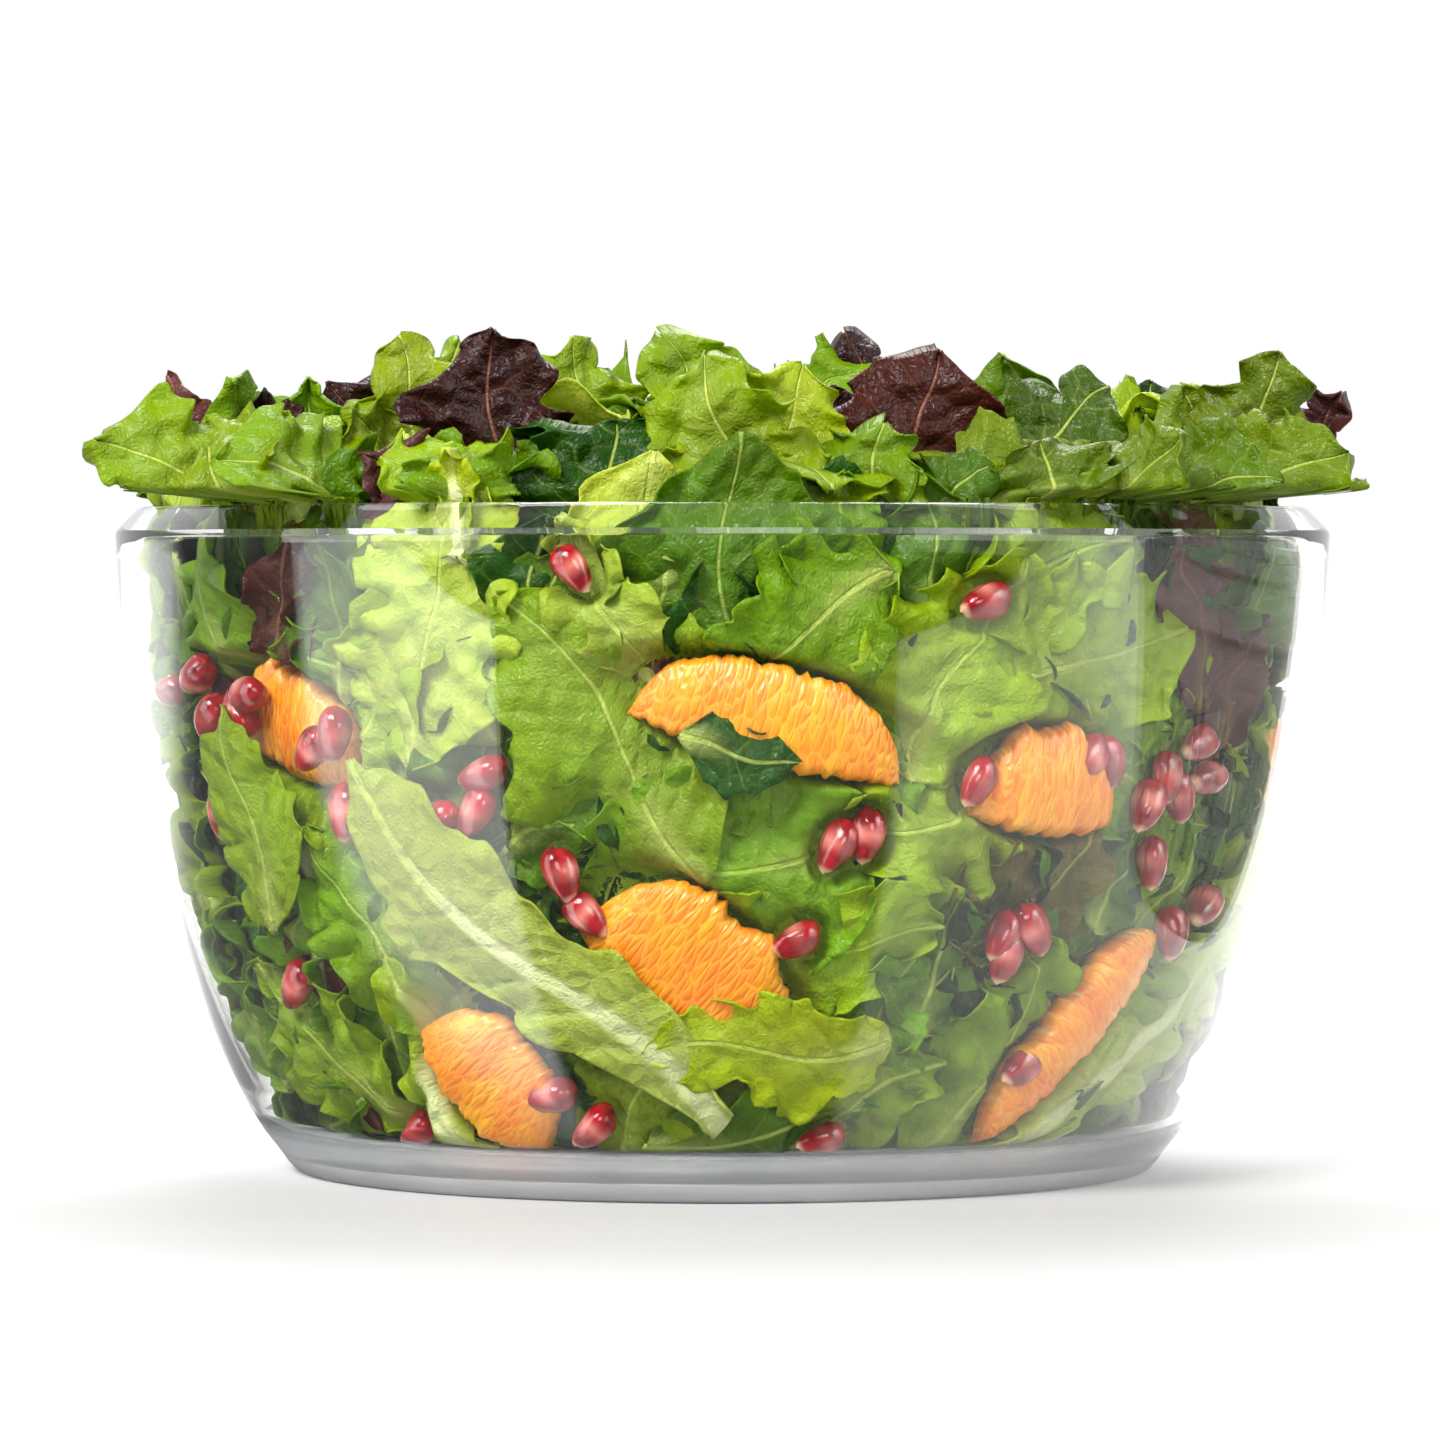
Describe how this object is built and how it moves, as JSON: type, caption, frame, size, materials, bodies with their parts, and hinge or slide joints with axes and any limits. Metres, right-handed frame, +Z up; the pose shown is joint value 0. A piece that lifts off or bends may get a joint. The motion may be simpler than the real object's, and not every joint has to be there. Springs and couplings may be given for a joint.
{
  "type": "salad spinner",
  "caption": "Salad spinner used for serving: a clear plastic bowl heaped with leaves, orange and pomegranate, and beside it the slotted basket under its clear pump lid.",
  "frame": {"origin": "centre of the bowl's foot ring on the table", "axes": "+Z up the bowl's axis, +X towards the basket and lid standing beside the bowl, -Y towards the viewer"},
  "size_m": [0.5807, 0.269, 0.1846],
  "materials": {
    "clear_bowl": "gloss",
    "foot_grey": "matte",
    "greens": "satin",
    "leaf_top": "satin",
    "orange_flesh": "satin",
    "aril_red": "gloss",
    "basket_white": "satin",
    "lid_clear": "gloss",
    "housing_white": "gloss",
    "bush": "satin",
    "screw_steel": "satin",
    "disc_white": "satin",
    "clutch_steel": "satin",
    "ring_plastic": "satin",
    "nut_plastic": "satin",
    "knob_white": "gloss",
    "grip_grey": "matte",
    "stem_steel": "polished",
    "screw_steel_b": "satin",
    "spring_steel": "satin",
    "button_grey": "gloss",
    "pad_rubber": "matte",
    "spring_steel_b": "satin",
    "slider_grey": "gloss"
  },
  "bodies": {
    "bowl_set": {"bowl": "clear_bowl", "foot_ring": "foot_grey", "salad_greens": "greens", "rim_leaves": "leaf_top", "orange_segments": "orange_flesh", "pomegranate_arils": "aril_red"},
    "basket": {"basket": "basket_white"},
    "lid": {"lid_shell": "lid_clear", "pump_housing": "housing_white", "bearing_bush": "bush", "housing_screws": "screw_steel", "return_spring": "spring_steel", "brake_spring": "spring_steel_b"},
    "drive": {"drive_disc": "disc_white", "one_way_clutch": "clutch_steel", "retaining_ring": "ring_plastic"},
    "nut": {"drive_nut": "nut_plastic"},
    "pump": {"pump_knob": "knob_white", "knob_grip": "grip_grey", "drive_stem": "stem_steel", "stem_screw": "screw_steel_b"},
    "brake": {"brake_button": "button_grey", "brake_pad": "pad_rubber"},
    "lock": {"lock_slider": "slider_grey"}
  },
  "joints": [
    {"name": "basket_spin", "type": "hinge", "parent": "bowl_set", "child": "basket", "pos_m": [0.312, 0, 0], "axis": [0, 0, 1], "continuous": true},
    {"name": "lid_lift", "type": "slide", "parent": "bowl_set", "child": "lid", "axis": [0, 0, 1], "range_m": [0, 0.2]},
    {"name": "drive_spin", "type": "hinge", "parent": "lid", "child": "drive", "pos_m": [0.312, 0, 0.125], "axis": [0, 0, 1], "continuous": true},
    {"name": "pump_press", "type": "slide", "parent": "lid", "child": "pump", "axis": [0, 0, -1], "range_m": [0, 0.024], "stiffness_N_per_m": 350, "springref_m": -0.008, "deforming": ["return_spring"]},
    {"name": "nut_spin", "type": "hinge", "parent": "lid", "child": "nut", "pos_m": [0.312, 0, 0.125], "axis": [0, 0, 1], "range_deg": [-1, 361]},
    {"name": "brake_press", "type": "slide", "parent": "lid", "child": "brake", "axis": [0, 0, -1], "range_m": [0, 0.003], "stiffness_N_per_m": 700, "springref_m": -0.003, "deforming": ["brake_spring"]},
    {"name": "lock_slide", "type": "slide", "parent": "lid", "child": "lock", "axis": [-1, 0, 0], "range_m": [0, 0.004]}
  ],
  "couplings": [
    {"joint": "drive_spin", "follows": "basket_spin", "ratio": 1},
    {"joint": "nut_spin", "follows": "pump_press", "rad_per_m": 261.8}
  ]
}
